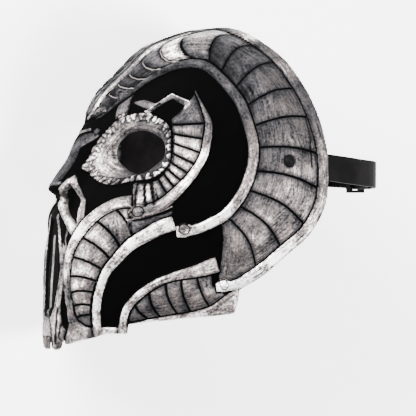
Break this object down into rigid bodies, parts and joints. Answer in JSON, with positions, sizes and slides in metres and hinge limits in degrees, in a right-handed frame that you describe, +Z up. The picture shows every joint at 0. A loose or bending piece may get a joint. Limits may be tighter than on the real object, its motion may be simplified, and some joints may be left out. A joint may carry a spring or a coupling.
{
  "type": "leather mask",
  "caption": "Moulded leather skull mask with curled ram's horns, pierced eyes and nose, and a riveted head strap, lying on its side.",
  "frame": {"origin": "bottom centre of the bounding box, on the surface that the mask lies on", "axes": "the mask lies on its right side: +Z up through the left horn, +Y towards the crown, the face looks to -X and the strap runs round to +X"},
  "size_m": [0.2318, 0.223, 0.1682],
  "materials": {
    "silvered_leather": "silver and black paint over moulded leather, satin, worn",
    "strap_leather": "dark dyed strap leather, low sheen",
    "black_steel": "black japanned steel, half gloss"
  },
  "bodies": {
    "root": {"leather_mask": "silvered_leather", "left_strap": "strap_leather", "right_strap": "strap_leather", "left_rivet": "black_steel", "right_rivet": "black_steel", "strap_stud": "black_steel", "strap_keeper": "strap_leather"}
  },
  "joints": []
}
